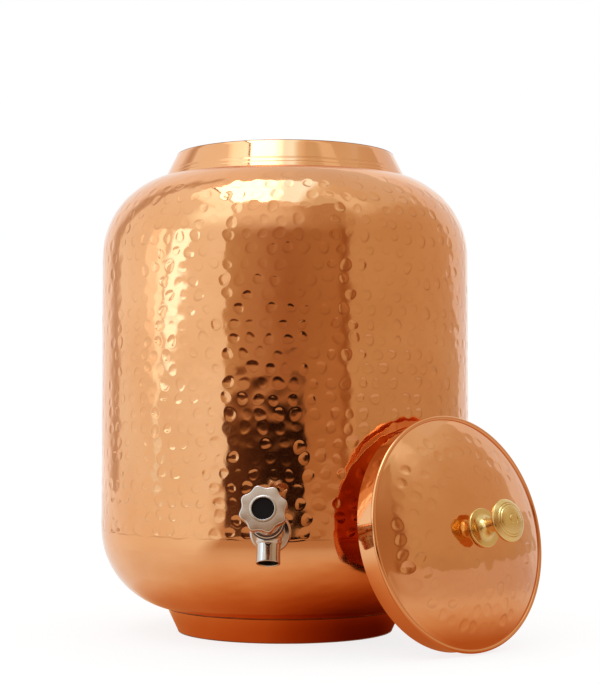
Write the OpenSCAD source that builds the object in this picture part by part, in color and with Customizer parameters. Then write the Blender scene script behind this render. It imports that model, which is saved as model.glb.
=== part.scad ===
// Copper water dispenser: a footed pot with a hammered barrel, a screw-down tap
// and a loose lid with a turned knob, which leans against the pot.
// The origin is the centre of the foot on the floor, +Z is up and the tap faces -Y.

/* [Pot] */
// Height from the floor to the rim
pot_h = 357; // [330:1:400]
// Outside diameter of the barrel
barrel_d = 275; // [250:1:300]
// Thickness of the copper sheet
sheet = 1; // [0.7:0.1:1.5]
// Outside radius of the curve from barrel to neck
shoulder_r = 63; // [52:1:68]
// Outside radius of the curve from barrel to base
bowl_r = 61; // [50:1:66]
// Height of the brazed seam between bowl and barrel
seam_z = 66; // [50:1:70]

/* [Neck] */
// Clear diameter of the mouth
mouth_d = 160; // [150:1:166]
// Width of the collar's flare from the mouth to the shoulder
neck_flare = 9.5; // [7:0.5:14]
// Height of the collar above the shoulder
neck_h = 15.5; // [12:0.5:24]
// Outside radius of the collar's bulge
neck_curve_r = 120; // [60:1:200]
// Width of the rim round the mouth
rim_w = 2; // [1.5:0.1:4]
// Length of the hem turned down inside the mouth
hem_h = 5; // [3:0.5:8]

/* [Foot] */
// Height of the bowl's underside above the floor
foot_h = 17; // [12:0.5:24]
// Diameter of the foot on the floor
foot_base_d = 160; // [150:1:166]
// Diameter of the foot where it meets the bowl
foot_top_d = 176; // [170:1:190]
// Width of the flange turned in under the foot
foot_flange_w = 5; // [3:0.5:8]

/* [Lid] */
// Depth of the skirt from its open edge to the middle of the bead
lid_skirt_h = 17; // [12:0.5:24]
// Radial clearance between the skirt and the mouth
lid_clearance = 1; // [0.4:0.1:1.5]
// Diameter of the rolled bead round the lid
bead_d = 3.2; // [3:0.1:5]
// Rise of the dome above the middle of the bead
lid_dome_h = 22; // [15:0.5:28]
// Angle by which the lid leans back from upright
lid_lean = 11.8; // [6:0.1:18]
// Direction of the lid's foot from the pot's axis, measured from the tap
lid_bearing = 48.5; // [40:0.1:60]
// Direction that the lid faces, measured from the tap
lid_facing = 44.7; // [40:0.1:60]

/* [Knob] */
// Diameter of the knob's head
knob_head_d = 29; // [24:0.5:34]
// Diameter of the knob's disc on the lid
knob_disc_d = 27; // [22:0.2:32]
// Diameter of the neck between disc and head
knob_neck_d = 9.8; // [8:0.2:12]
// Height of the disc's face above the top of the lid
knob_disc_t = 1.5; // [1:0.1:3]
// Height of the head's underside above the top of the lid
knob_head_z = 21.5; // [17:0.5:27]
// Thickness of the head's edge
knob_edge_t = 2; // [1:0.1:3]
// Rise of the head's dome above its edge
knob_dome_h = 5.5; // [3:0.5:8]
// Diameter of the screw that holds the knob
knob_screw_d = 5; // [4:0.5:6]

/* [Tap body] */
// Height of the tap's shank above the floor
tap_z = 82.6; // [82:0.1:110]
// Angle by which the valve rises from level
tap_rise = 18; // [10:0.5:25]
// Angle by which the spout leans out from plumb
spout_lean = 20; // [12:0.5:24]
// Diameter of the threaded shank
shank_d = 16; // [14:0.5:17]
// Length of shank inside the pot's wall
shank_in = 24; // [20:0.5:32]
// Diameter of the flange against the pot
flange_d = 28; // [26:0.5:32]
// Thickness of the flange
flange_t = 3; // [2:0.1:4]
// Thickness of the outer gasket
gasket_t = 1.8; // [1.5:0.1:3]
// Distance of the valve's centre in front of the wall
valve_out = 15; // [14:0.5:18]
// Height of the valve's centre above the shank's axis
valve_up = 3.3; // [2:0.1:4.5]
// Diameter of the valve chamber
chamber_d = 20.6; // [20:0.2:23]
// Diameter of the spout
spout_d = 16; // [14:0.5:16.5]
// Length of the spout from the valve's centre
spout_len = 24; // [22:0.5:30]
// Diameter of the spout's thicker root
spout_root_d = 17.2; // [17:0.1:19]
// Length of the spout's thicker root from the valve's centre
spout_root_len = 12; // [11.5:0.5:14]
// Bore of the spout
spout_bore = 13; // [10:0.5:13.5]
// Bore of the inlet
inlet_bore = 9; // [7:0.5:10]

/* [Tap valve] */
// Travel of the valve from shut to open
valve_travel = 4; // [3:0.5:4.5]
// Diameter of the rubber valve disc
valve_d = 13; // [12:0.2:15]
// Thickness of the rubber valve disc
valve_t = 3; // [2:0.1:4]
// Diameter of the bonnet's screwed end
bonnet_thread_d = 16; // [15.4:0.2:17]
// Diameter of the bonnet's grooved collar
bonnet_d = 23.4; // [22:0.2:26]
// Thickness of the bonnet's grooved collar
bonnet_t = 5; // [4:0.1:7]
// Length of the bonnet's hub in front of the collar
bonnet_hub_h = 11; // [7:0.1:13]
// Diameter of the spindle's stem
spindle_d = 7; // [6:0.1:7.4]
// Diameter of the spindle's screw
spindle_screw_d = 6; // [5:0.1:6.4]

/* [Handwheel] */
// Diameter over the lobes
wheel_d = 31.5; // [28:0.5:38]
// Number of lobes
wheel_lobes = 8; // [5:1:10]
// Depth of the scallops between lobes
scallop = 2; // [1:0.1:3]
// Turn of the first lobe from level, seen from the front
lobe_turn = 16; // [0:1:44]
// Thickness of the wheel's rim
wheel_t = 9; // [8:0.1:12]
// Length of the hub behind the rim
wheel_hub_h = 11; // [5:0.1:13]
// Diameter of the cap in the wheel's face
cap_d = 14.2; // [13:0.1:16]

/* [Hidden] */
$fn = 72;

copper = "#c77a4a";
bright_copper = "#d98c5c";
brass = "#c9a75a";
chrome = "#cfcfcf";
rubber = "#3a3a3a";
silicone = "#e6e2da";
dark_plastic = "#24201f";

// Overshoot of a cutting tool past the face that it cuts
cut = 1;
// Radial play of a part that turns or slides in a bore
play = 0.05;
// Gap between faces of parts that move past each other
gap = 0.1;

// Pot
barrel_r = barrel_d / 2;
mouth_r = mouth_d / 2;
neck_r = mouth_r + neck_flare;
shoulder_top = pot_h - neck_h;
shoulder_cz = shoulder_top - shoulder_r;
bowl_cz = foot_h + bowl_r;
// Centre of the arc from the collar's foot to the rim
neck_foot = [neck_r, shoulder_top];
neck_rim = [mouth_r + rim_w, pot_h];
neck_chord = neck_rim - neck_foot;
neck_inward = [-neck_chord.y, neck_chord.x] / norm(neck_chord);
neck_centre = (neck_foot + neck_rim) / 2
    + neck_inward * sqrt(pow(neck_curve_r, 2) - pow(norm(neck_chord) / 2, 2));
// Width of the shoulder's edge inside the collar
shoulder_ledge = 3;
foot_base_r = foot_base_d / 2;
foot_top_r = foot_top_d / 2;
// Share by which the foot's slope runs on into the bowl, before it is trimmed
foot_overrun = 1.4;

// Lid, in its own frame: the open edge of the skirt lies on z = 0
skirt_r = mouth_r - lid_clearance;
bead_r = bead_d / 2;
// Gap between the skirt's inner face and the inside of the bead
bead_gap = 0.2;
bead_ring_r = skirt_r + bead_r - sheet + bead_gap;
crown_r = (pow(bead_ring_r, 2) + pow(lid_dome_h, 2)) / (2 * lid_dome_h);
lid_apex = lid_skirt_h + lid_dome_h;
crown_cz = lid_apex - crown_r;
// Gap left between the leaning lid and the barrel
lid_gap = 0.3;

// Knob
// Depth to which the disc runs on into the dome, before it is trimmed
knob_seat = 2;
knob_trumpet = 6.5;
knob_flare = 5;
// Radii of the grooves turned in the knob's head
knob_groove_rings = [3.5, 9.9, 11.4];
knob_groove_r = 0.5;
knob_top = knob_head_z + knob_edge_t + knob_dome_h;
knob_dome_r = (pow(knob_head_d / 2, 2) + pow(knob_dome_h, 2)) / (2 * knob_dome_h);
knob_screw_hole_h = 12;
knob_washer_d = 16;
knob_washer_t = 1.5;
knob_screw_head_d = 9;
knob_screw_head_h = 3;

// Tap, along the shank: zero is the outside of the wall, outwards is positive
flange_back = gasket_t;
flange_face = flange_back + flange_t;
flange_round = 1;
inner_gasket_t = 2.5;
inner_gasket_lip = 5;
inner_gasket_d = shank_d + 2 * inner_gasket_lip;
inner_washer_t = 1.5;
inner_washer_lip = 5.5;
inner_washer_d = shank_d + 2 * inner_washer_lip;
outer_gasket_inset = 0.5;
nut_across = 24;
nut_t = 7;
shank_gap = 0.5;
pipe_step = 0.75;
neck_pipe_d = shank_d + 2 * pipe_step;

// Valve, along the spindle: zero is the valve's centre
seat_v = -6;
chamber_back = -10;
chamber_front = 12;
seal_t = 1;
collar_v = chamber_front + seal_t;
hub_v = collar_v + bonnet_t;
bonnet_front = hub_v + bonnet_hub_h;
bonnet_back = 6.5;
bonnet_hub_d = 16;
bonnet_nose_d = 13.5;
// Distances of the grooves from the back of the bonnet's collar
collar_grooves = [1.5, 3.1];
groove_w = 0.9;
groove_h = 0.8;
carrier_back = seat_v + gap + valve_t;
carrier_disc_t = 1.5;
carrier_front = 11;
carrier_hex_d = 11.2;
guide_gap = 0.6;
guide_hex_d = carrier_hex_d + guide_gap;
thrust_v = carrier_front + valve_travel + 2 * gap;
thrust_d = 10;
thrust_t = 1.5;
screw_engagement = 5.5;
spindle_back = carrier_front - screw_engagement;
carrier_bore_v = spindle_back - valve_travel - gap;
guide_front = thrust_v + thrust_t + gap;
clip_gap = 0.3;
clip_v = bonnet_front + clip_gap;
clip_t = 0.9;
clip_groove_h = 0.6;
clip_groove_d = spindle_d - 2 * clip_groove_h;
clip_lip = 1.5;
clip_d = spindle_d + 2 * clip_lip;
clip_notch_w = 4;
o_ring_d = 0.9;
o_ring_inset = 4;
o_ring_v = bonnet_front - o_ring_inset;
o_ring_groove_d = spindle_d - 2 * o_ring_d;
washer_screw_d = 3;
washer_screw_head_d = 6.4;
washer_screw_head_h = 1.6;
washer_screw_len = 2;

// Handwheel, along the spindle
wheel_gap = 2;
wheel_hub_v = clip_v + clip_t + wheel_gap;
wheel_hub_d = 12;
rim_v = wheel_hub_v + wheel_hub_h;
wheel_face = rim_v + wheel_t;
drive_setback = 5;
drive_front = wheel_face - drive_setback;
drive_step = 0.3;
drive_d = spindle_d - drive_step;
drive_gap = 0.1;
drive_v = wheel_hub_v;
cap_t = 2;
cap_ring_w = 0.9;
cap_ring_h = 0.7;
wheel_crown = 1;
wheel_web_t = 4;
lobe_sharpness = 3;
wheel_screw_d = 3.2;
wheel_screw_len = 6;
wheel_screw_head_d = 6.4;
wheel_screw_head_h = 2.2;
screw_pocket_gap = 1.4;
screw_pocket_d = wheel_screw_head_d + screw_pocket_gap;
slot_w = 1;
slot_h = 0.8;

// Distance of a point of the skirt's open edge from the pot's axis, seen from above,
// with the lid's edge centred at the given reach
function edge_distance(reach, turn) =
    let (
        aside = skirt_r * cos(turn),
        back = -skirt_r * sin(turn) * sin(lid_lean),
        skew = lid_facing - lid_bearing
    )
    norm([reach + back * cos(skew) - aside * sin(skew), back * sin(skew) + aside * cos(skew)]);
function nearest_edge(reach) = min([for (turn = [0 : 1 : 180]) edge_distance(reach, turn)]);
// Reach at which the lid's edge comes within the lid gap of the barrel, by halving
function lean_reach(near, far, steps) =
    let (middle = (near + far) / 2)
    steps == 0 ? middle
    : nearest_edge(middle) < barrel_r + lid_gap ? lean_reach(middle, far, steps - 1)
    : lean_reach(near, middle, steps - 1);
lid_reach = lean_reach(barrel_r, barrel_r + skirt_r, 24);

// Outline of a lobed wheel
function lobe_radius(turn) =
    wheel_d / 2 - scallop * (1 - pow(abs(cos(turn * wheel_lobes / 2)), lobe_sharpness));
lobe_steps = 14;
lobe_points = [
    for (i = [0 : wheel_lobes * lobe_steps - 1])
        let (turn = i * 360 / (wheel_lobes * lobe_steps))
        lobe_radius(turn) * [cos(turn + lobe_turn), sin(turn + lobe_turn)]
];

// Frames

module tap_frame() {
    translate([0, -barrel_r, tap_z]) rotate([90, 0, 0]) children();
}

module valve_frame() {
    tap_frame() translate([0, valve_up, valve_out]) rotate([-tap_rise, 0, 0]) children();
}

module spout_frame() {
    tap_frame() translate([0, valve_up, valve_out]) rotate([90 - spout_lean, 0, 0]) children();
}

module lid_frame() {
    rotate([0, 0, lid_bearing])
        translate([0, -lid_reach, skirt_r * cos(lid_lean)])
            rotate([0, 0, lid_facing - lid_bearing])
                rotate([90 - lid_lean, 0, 0])
                    children();
}

module knob_frame() {
    lid_frame() translate([0, 0, lid_apex]) children();
}

// Shared shapes

// A round bar between two heights
module bar(d, from, to) {
    translate([0, 0, from]) cylinder(d = d, h = to - from);
}

// A hexagon bar between two heights, measured across its corners
module hex_bar(d, from, to) {
    translate([0, 0, from]) cylinder(d = d, h = to - from, $fn = 6);
}

// A ring between two heights
module ring(outer_d, inner_d, from, to) {
    difference() {
        bar(outer_d, from, to);
        bar(inner_d, from - cut, to + cut);
    }
}

// A rectangle between two radii and two heights
module band(r1, r2, z1, z2) {
    translate([r1, z1]) square([r2 - r1, z2 - z1]);
}

// The filling of an inside corner at the point r, z, on its outer side:
// up = 1 fills above a floor, up = -1 fills below a ceiling
module cove(r, z, size, up) {
    difference() {
        translate([r, up > 0 ? z : z - size]) square(size);
        translate([r + size, z + up * size]) circle(size);
    }
}

// Half of the pot's filled outline, at a distance inside its outer face
module pot_outline(inset) {
    band(0, barrel_r - inset, bowl_cz, shoulder_cz);
    band(0, barrel_r - shoulder_r, shoulder_cz, shoulder_top - inset);
    band(0, barrel_r - bowl_r, foot_h + inset, bowl_cz);
    intersection() {
        translate([barrel_r - shoulder_r, shoulder_cz]) circle(shoulder_r - inset);
        band(barrel_r - shoulder_r, barrel_r, shoulder_cz, shoulder_top);
    }
    intersection() {
        translate([barrel_r - bowl_r, bowl_cz]) circle(bowl_r - inset);
        band(barrel_r - bowl_r, barrel_r, foot_h, bowl_cz);
    }
}

// Half section of the pot's wall between two heights
module pot_wall(z1, z2) {
    difference() {
        intersection() {
            pot_outline(0);
            band(0, barrel_r, z1, z2);
        }
        pot_outline(sheet);
    }
}

// The circle that the lid's dome follows, at a distance inside its outer face
module crown_circle(inset) {
    translate([0, crown_cz]) circle(crown_r - inset, $fn = 720);
}

// Half section of the lid's top sheet and bead
module lid_section() {
    intersection() {
        difference() {
            crown_circle(0);
            crown_circle(sheet);
        }
        band(knob_screw_d / 2, bead_ring_r, lid_skirt_h - bead_d, lid_apex);
    }
    translate([bead_ring_r, lid_skirt_h]) circle(bead_r);
}

// Pot

module barrel() {
    color(copper) difference() {
        rotate_extrude() pot_wall(seam_z, shoulder_cz);
        tap_frame() bar(shank_d + 2 * shank_gap, -shank_in, valve_out);
    }
}

module shoulder() {
    color(copper) rotate_extrude() difference() {
        pot_wall(shoulder_cz, shoulder_top);
        band(0, neck_r - sheet - shoulder_ledge, shoulder_cz, pot_h);
    }
}

module bottom_bowl() {
    color(bright_copper) rotate_extrude() pot_wall(foot_h, seam_z);
}

module foot_ring() {
    color(copper) rotate_extrude() difference() {
        union() {
            polygon([
                [foot_base_r - sheet, 0],
                [foot_base_r, 0],
                [foot_base_r + foot_overrun * (foot_top_r - foot_base_r), foot_overrun * foot_h],
                [foot_base_r - sheet + foot_overrun * (foot_top_r - foot_base_r), foot_overrun * foot_h]
            ]);
            band(foot_base_r - foot_flange_w, foot_base_r, 0, sheet);
        }
        pot_outline(0);
    }
}

module neck_collar() {
    color(bright_copper) rotate_extrude() difference() {
        union() {
            intersection() {
                translate(neck_centre) difference() {
                    circle(neck_curve_r, $fn = 480);
                    circle(neck_curve_r - sheet, $fn = 480);
                }
                band(mouth_r, barrel_r, shoulder_cz, pot_h);
            }
            band(mouth_r, mouth_r + rim_w, pot_h - sheet, pot_h);
            band(mouth_r, mouth_r + sheet, pot_h - hem_h, pot_h);
        }
        pot_outline(0);
    }
}

// Lid

module lid_top() {
    color(copper) lid_frame() rotate_extrude() lid_section();
}

module lid_skirt() {
    color(bright_copper) lid_frame() rotate_extrude() difference() {
        band(skirt_r - sheet, skirt_r, 0, lid_skirt_h);
        lid_section();
    }
}

module lid_knob() {
    neck_r = knob_neck_d / 2;
    edge_top = knob_head_z + knob_edge_t;
    color(brass) knob_frame() difference() {
        rotate_extrude() difference() {
            union() {
                band(0, knob_disc_d / 2, -knob_seat, knob_disc_t);
                cove(neck_r, knob_disc_t, knob_trumpet, 1);
                band(0, neck_r, knob_disc_t, knob_head_z);
                cove(neck_r, knob_head_z, knob_flare, -1);
                band(0, knob_head_d / 2, knob_head_z, edge_top);
                intersection() {
                    translate([0, knob_top - knob_dome_r]) circle(knob_dome_r);
                    band(0, knob_head_d / 2, edge_top, knob_top);
                }
            }
            translate([0, -lid_apex]) crown_circle(0);
            for (r = knob_groove_rings)
                translate([r, knob_top - knob_dome_r + sqrt(pow(knob_dome_r, 2) - pow(r, 2))])
                    circle(knob_groove_r);
        }
        bar(knob_screw_d, -knob_seat, knob_screw_hole_h);
    }
}

module knob_washer() {
    color(brass) lid_frame() rotate_extrude() intersection() {
        band(knob_screw_d / 2, knob_washer_d / 2, lid_apex - sheet - knob_washer_t, lid_apex);
        crown_circle(sheet);
    }
}

module knob_screw() {
    head_top = lid_apex - sheet - knob_washer_t;
    color(brass) lid_frame() difference() {
        union() {
            bar(knob_screw_d, head_top, lid_apex + knob_screw_hole_h - cut);
            bar(knob_screw_head_d, head_top - knob_screw_head_h, head_top);
        }
        translate([-knob_screw_head_d / 2, -slot_w / 2, head_top - knob_screw_head_h - cut])
            cube([knob_screw_head_d, slot_w, slot_h + cut]);
    }
}

// Tap body and what clamps it to the wall

module tap_body() {
    color(chrome) difference() {
        union() {
            tap_frame() bar(shank_d, -sheet - shank_in, flange_face);
            tap_frame() rotate_extrude() {
                band(0, flange_d / 2, flange_back, flange_face - flange_round);
                band(0, flange_d / 2 - flange_round, flange_back, flange_face);
                translate([flange_d / 2 - flange_round, flange_face - flange_round]) circle(flange_round);
            }
            tap_frame() bar(neck_pipe_d, flange_back, valve_out);
            valve_frame() bar(chamber_d, chamber_back, chamber_front);
            spout_frame() bar(spout_root_d, 0, spout_root_len);
            spout_frame() bar(spout_d, 0, spout_len);
        }
        tap_frame() bar(inlet_bore, -sheet - shank_in - cut, valve_out + seat_v);
        valve_frame() bar(inlet_bore, chamber_back + cut, seat_v + cut);
        valve_frame() bar(bonnet_thread_d + 2 * play, seat_v, chamber_front + cut);
        spout_frame() bar(spout_bore, 0, spout_len + cut);
    }
}

module tap_gasket_outer() {
    color(silicone) difference() {
        tap_frame() ring(flange_d - 2 * outer_gasket_inset, shank_d, -gasket_t, gasket_t);
        let ($fn = 480) rotate_extrude() pot_outline(0);
    }
}

module tap_gasket_inner() {
    color(rubber) intersection() {
        tap_frame() ring(inner_gasket_d, shank_d, -sheet - inner_gasket_t, 0);
        let ($fn = 480) rotate_extrude() pot_outline(sheet);
    }
}

module tap_washer() {
    back = -sheet - inner_gasket_t;
    color(chrome) tap_frame() ring(inner_washer_d, shank_d, back - inner_washer_t, back);
}

module tap_back_nut() {
    face = -sheet - inner_gasket_t - inner_washer_t;
    color(brass) tap_frame() difference() {
        hex_bar(nut_across / cos(30), face - nut_t, face);
        bar(shank_d, face - nut_t - cut, face + cut);
    }
}

// Bonnet, spindle and valve

module bonnet_seal() {
    color(rubber) valve_frame() ring(chamber_d, bonnet_thread_d, chamber_front, collar_v);
}

module bonnet() {
    color(chrome) valve_frame() difference() {
        union() {
            bar(bonnet_thread_d, bonnet_back, collar_v);
            bar(bonnet_d, collar_v, hub_v);
            translate([0, 0, hub_v]) cylinder(d1 = bonnet_hub_d, d2 = bonnet_nose_d, h = bonnet_hub_h);
        }
        for (step = collar_grooves)
            ring(bonnet_d + cut, bonnet_d - 2 * groove_h, collar_v + step, collar_v + step + groove_w);
        hex_bar(guide_hex_d, bonnet_back - cut, guide_front);
        bar(spindle_d + 2 * play, guide_front - cut, bonnet_front + cut);
    }
}

module spindle() {
    color(brass) valve_frame() difference() {
        union() {
            bar(spindle_screw_d, spindle_back, thrust_v);
            bar(thrust_d, thrust_v, thrust_v + thrust_t);
            bar(spindle_d, thrust_v + thrust_t, drive_v);
            translate([0, 0, drive_v]) cylinder(d = drive_d, h = drive_front - drive_v, $fn = 4);
        }
        ring(spindle_d + cut, o_ring_groove_d, o_ring_v - o_ring_d, o_ring_v + o_ring_d);
        ring(spindle_d + cut, clip_groove_d, clip_v, clip_v + clip_t);
        bar(wheel_screw_d, drive_front - wheel_screw_len - cut, drive_front + cut);
    }
}

module spindle_o_ring() {
    section_r = o_ring_d / 2;
    color(rubber) valve_frame() translate([0, 0, o_ring_v]) rotate_extrude()
        translate([o_ring_groove_d / 2 + section_r, 0]) circle(section_r);
}

module spindle_clip() {
    color(chrome) valve_frame() difference() {
        ring(clip_d, clip_groove_d, clip_v, clip_v + clip_t);
        translate([0, -clip_notch_w / 2, clip_v - cut]) cube([clip_d, clip_notch_w, clip_t + 2 * cut]);
    }
}

module valve_carrier() {
    color(brass) valve_frame() difference() {
        union() {
            bar(valve_d, carrier_back, carrier_back + carrier_disc_t);
            hex_bar(carrier_hex_d, carrier_back, carrier_front);
        }
        bar(spindle_screw_d + 2 * play, carrier_bore_v, carrier_front + cut);
        bar(washer_screw_d, carrier_back - cut, carrier_back + washer_screw_len);
    }
}

module valve_washer() {
    color(rubber) valve_frame() ring(valve_d, washer_screw_d, carrier_back - valve_t, carrier_back);
}

module washer_screw() {
    washer_face = carrier_back - valve_t;
    color(brass) valve_frame() difference() {
        union() {
            bar(washer_screw_d, washer_face, carrier_back + washer_screw_len);
            bar(washer_screw_head_d, washer_face - washer_screw_head_h, washer_face);
        }
        translate([-washer_screw_head_d / 2, -slot_w / 2, washer_face - washer_screw_head_h - cut])
            cube([washer_screw_head_d, slot_w, slot_h + cut]);
    }
}

// Handwheel

module wheel_blank() {
    intersection() {
        translate([0, 0, rim_v]) linear_extrude(height = wheel_t) polygon(lobe_points);
        rotate_extrude() {
            band(0, wheel_d / 2, rim_v + wheel_crown, wheel_face - wheel_crown);
            band(0, wheel_d / 2 - wheel_crown, rim_v, wheel_face);
            translate([wheel_d / 2 - wheel_crown, wheel_face - wheel_crown]) circle(wheel_crown);
            translate([wheel_d / 2 - wheel_crown, rim_v + wheel_crown]) circle(wheel_crown);
        }
    }
}

module handwheel() {
    seat_d = cap_d + 2 * play;
    color(chrome) valve_frame() difference() {
        union() {
            wheel_blank();
            bar(wheel_hub_d, wheel_hub_v, wheel_face);
            ring(seat_d + 2 * cap_ring_w, seat_d, wheel_face - cut, wheel_face + cap_ring_h);
        }
        ring(wheel_d - 2 * scallop - 2 * wheel_crown, wheel_hub_d, rim_v - cut, wheel_face - wheel_web_t);
        bar(seat_d, wheel_face - cap_t, wheel_face + 2 * cut);
        bar(screw_pocket_d, drive_front, wheel_face);
        translate([0, 0, wheel_hub_v - cut])
            cylinder(d = drive_d + 2 * drive_gap, h = drive_front - wheel_hub_v + 2 * cut, $fn = 4);
    }
}

module handwheel_screw() {
    color(chrome) valve_frame() difference() {
        union() {
            bar(wheel_screw_d, drive_front - wheel_screw_len, drive_front);
            bar(wheel_screw_head_d, drive_front, drive_front + wheel_screw_head_h);
        }
        translate([-wheel_screw_head_d / 2, -slot_w / 2, drive_front + wheel_screw_head_h - slot_h])
            cube([wheel_screw_head_d, slot_w, slot_h + cut]);
    }
}

module handwheel_cap() {
    color(dark_plastic) valve_frame() bar(cap_d, wheel_face - cap_t, wheel_face);
}

barrel();
shoulder();
bottom_bowl();
foot_ring();
neck_collar();
lid_top();
lid_skirt();
lid_knob();
knob_washer();
knob_screw();
tap_body();
tap_gasket_outer();
tap_gasket_inner();
tap_washer();
tap_back_nut();
bonnet_seal();
bonnet();
spindle();
spindle_o_ring();
spindle_clip();
valve_carrier();
valve_washer();
washer_screw();
handwheel();
handwheel_screw();
handwheel_cap();
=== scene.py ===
import math

import bpy
import numpy as np
from mathutils import Matrix, Vector


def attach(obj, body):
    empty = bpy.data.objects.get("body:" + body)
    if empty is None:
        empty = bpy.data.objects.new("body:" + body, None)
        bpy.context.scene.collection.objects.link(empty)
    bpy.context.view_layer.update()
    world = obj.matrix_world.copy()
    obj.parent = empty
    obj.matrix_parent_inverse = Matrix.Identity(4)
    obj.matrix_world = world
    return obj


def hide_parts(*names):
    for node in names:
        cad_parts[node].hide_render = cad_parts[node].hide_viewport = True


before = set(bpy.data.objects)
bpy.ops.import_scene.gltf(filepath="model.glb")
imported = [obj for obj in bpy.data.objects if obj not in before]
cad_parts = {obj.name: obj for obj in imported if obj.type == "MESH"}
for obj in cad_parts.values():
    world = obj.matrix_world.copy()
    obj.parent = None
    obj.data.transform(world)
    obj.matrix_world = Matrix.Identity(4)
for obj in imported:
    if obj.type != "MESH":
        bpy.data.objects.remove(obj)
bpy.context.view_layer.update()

random = np.random.default_rng(11)

# Sizes in millimetres, as in the part's source

BARREL_R = 137.5
SHEET = 1.0
SHOULDER_R = 63.0
SHOULDER_Z = 278.5
BOWL_R = 61.0
BOWL_Z = 78.0
SEAM_Z = 66.0
FOOT_H = 17.0
FOOT_BASE_R = 80.0
FOOT_TOP_R = 88.0
FOOT_FLANGE_W = 5.0
NECK_R = 89.5
NECK_Z = 341.5
NECK_CURVE_R = 900.0
MOUTH_R = 80.0
RIM_W = 2.0
HEM_H = 5.0
POT_H = 357.0
SKIRT_R = 79.0
SKIRT_H = 17.0
BEAD_R = 1.6
BEAD_RING_R = 79.8
DOME_H = 22.0
LEAN = 11.8
BEARING = 48.5
FACING = 44.7
LID_GAP = 0.3
TAP_Z = 82.6
VALVE_UP = 3.3
VALVE_OUT = 15.0
TAP_RISE = 18.0
SPOUT_LEAN = 20.0

# Frames that pieces are made in


def turn_x(degrees):
    return Matrix.Rotation(math.radians(degrees), 4, "X")


def turn_z(degrees):
    return Matrix.Rotation(math.radians(degrees), 4, "Z")


def move(x, y, z):
    return Matrix.Translation((x / 1000, y / 1000, z / 1000))


def lid_reach():
    """Distance at which the leaning skirt's edge comes within the gap of the barrel."""
    turn = np.radians(np.arange(181))
    back = -SKIRT_R * np.sin(turn) * math.sin(math.radians(LEAN))
    aside = SKIRT_R * np.cos(turn)
    skew = math.radians(FACING - BEARING)
    near, far = BARREL_R, BARREL_R + SKIRT_R
    for _ in range(24):
        reach = (near + far) / 2
        x = reach + back * math.cos(skew) - aside * math.sin(skew)
        y = back * math.sin(skew) + aside * math.cos(skew)
        if np.hypot(x, y).min() < BARREL_R + LID_GAP:
            near = reach
        else:
            far = reach
    return near


POT = Matrix.Identity(4)
TAP = move(0, -BARREL_R, TAP_Z) @ turn_x(90)
VALVE = TAP @ move(0, VALVE_UP, VALVE_OUT) @ turn_x(-TAP_RISE)
SPOUT = TAP @ move(0, VALVE_UP, VALVE_OUT) @ turn_x(90 - SPOUT_LEAN)
LID = (
    turn_z(BEARING)
    @ move(0, -lid_reach(), SKIRT_R * math.cos(math.radians(LEAN)))
    @ turn_z(FACING - BEARING)
    @ turn_x(90 - LEAN)
)
KNOB_TILT = 3.5
KNOB = LID @ move(0, 0, SKIRT_H + DOME_H) @ turn_x(-KNOB_TILT)

# Mesh tools


def make_piece(name, points, faces, place, material, body, nodes=(), sharp=40, rims=None):
    """Adds a mesh piece from points in millimetres, which rides on a body.

    rims gives each point's share of painted shade along a hammer mark's rim, and of the dark seam line on
    the barrel, which the material reads.
    """
    mesh = bpy.data.meshes.new(name)
    mesh.from_pydata(np.asarray(points, float) / 1000, [], faces)
    if rims is not None:
        mesh.attributes.new("rim", "FLOAT", "POINT").data.foreach_set("value", rims.astype(np.float32))
    mesh.validate()
    mesh.update()
    mesh.polygons.foreach_set("use_smooth", np.ones(len(mesh.polygons), bool))
    mesh.set_sharp_from_angle(angle=math.radians(sharp))
    mesh.transform(place)
    piece = bpy.data.objects.new(name, mesh)
    bpy.context.scene.collection.objects.link(piece)
    mesh.materials.append(material)
    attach(piece, body)
    if nodes:
        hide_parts(*nodes)


def soften(corners, steps=5):
    """A closed outline from corners of (radius, height, fillet), with its fillets rounded."""
    outline = []
    count = len(corners)
    for i, (r, z, fillet) in enumerate(corners):
        here = np.array([r, z], float)
        before = np.array(corners[i - 1][:2], float) - here
        after = np.array(corners[(i + 1) % count][:2], float) - here
        if fillet <= 0:
            outline.append(tuple(here))
            continue
        reach_before, reach_after = np.linalg.norm(before), np.linalg.norm(after)
        before, after = before / reach_before, after / reach_after
        half = math.acos(max(-1.0, min(1.0, float(before @ after)))) / 2
        if half > 1.55:
            outline.append(tuple(here))
            continue
        cut = min(fillet / math.tan(half), 0.49 * reach_before, 0.49 * reach_after)
        size = cut * math.tan(half)
        middle = (before + after) / np.linalg.norm(before + after)
        centre = here + middle * (size / math.sin(half))
        start = here + before * cut - centre
        end = here + after * cut - centre
        first = math.atan2(start[1], start[0])
        swing = math.atan2(end[1], end[0]) - first
        swing = (swing + math.pi) % (2 * math.pi) - math.pi
        for k in range(steps + 1):
            angle = first + swing * k / steps
            outline.append((centre[0] + size * math.cos(angle), centre[1] + size * math.sin(angle)))
    return outline


def lathe(outline, turns=128, closed=True):
    """Points and faces of an outline of (radius, height) turned round the Z axis."""
    points, rings = [], []
    for r, z in outline:
        if r < 1e-6:
            rings.append([len(points)] * turns)
            points.append((0.0, 0.0, z))
            continue
        rings.append(list(range(len(points), len(points) + turns)))
        for k in range(turns):
            angle = 2 * math.pi * k / turns
            points.append((r * math.cos(angle), r * math.sin(angle), z))
    faces = []
    last = len(rings) if closed else len(rings) - 1
    for i in range(last):
        low, high = rings[i], rings[(i + 1) % len(rings)]
        for k in range(turns):
            j = (k + 1) % turns
            face = [low[k], low[j], high[j], high[k]]
            face = [v for n, v in enumerate(face) if v not in face[:n]]
            if len(face) > 2:
                faces.append(face)
    return points, faces


def lathe_piece(name, outline, place, material, body, nodes=(), turns=128, closed=True, sharp=40):
    points, faces = lathe(outline, turns, closed)
    make_piece(name, points, faces, place, material, body, nodes, sharp)


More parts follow.
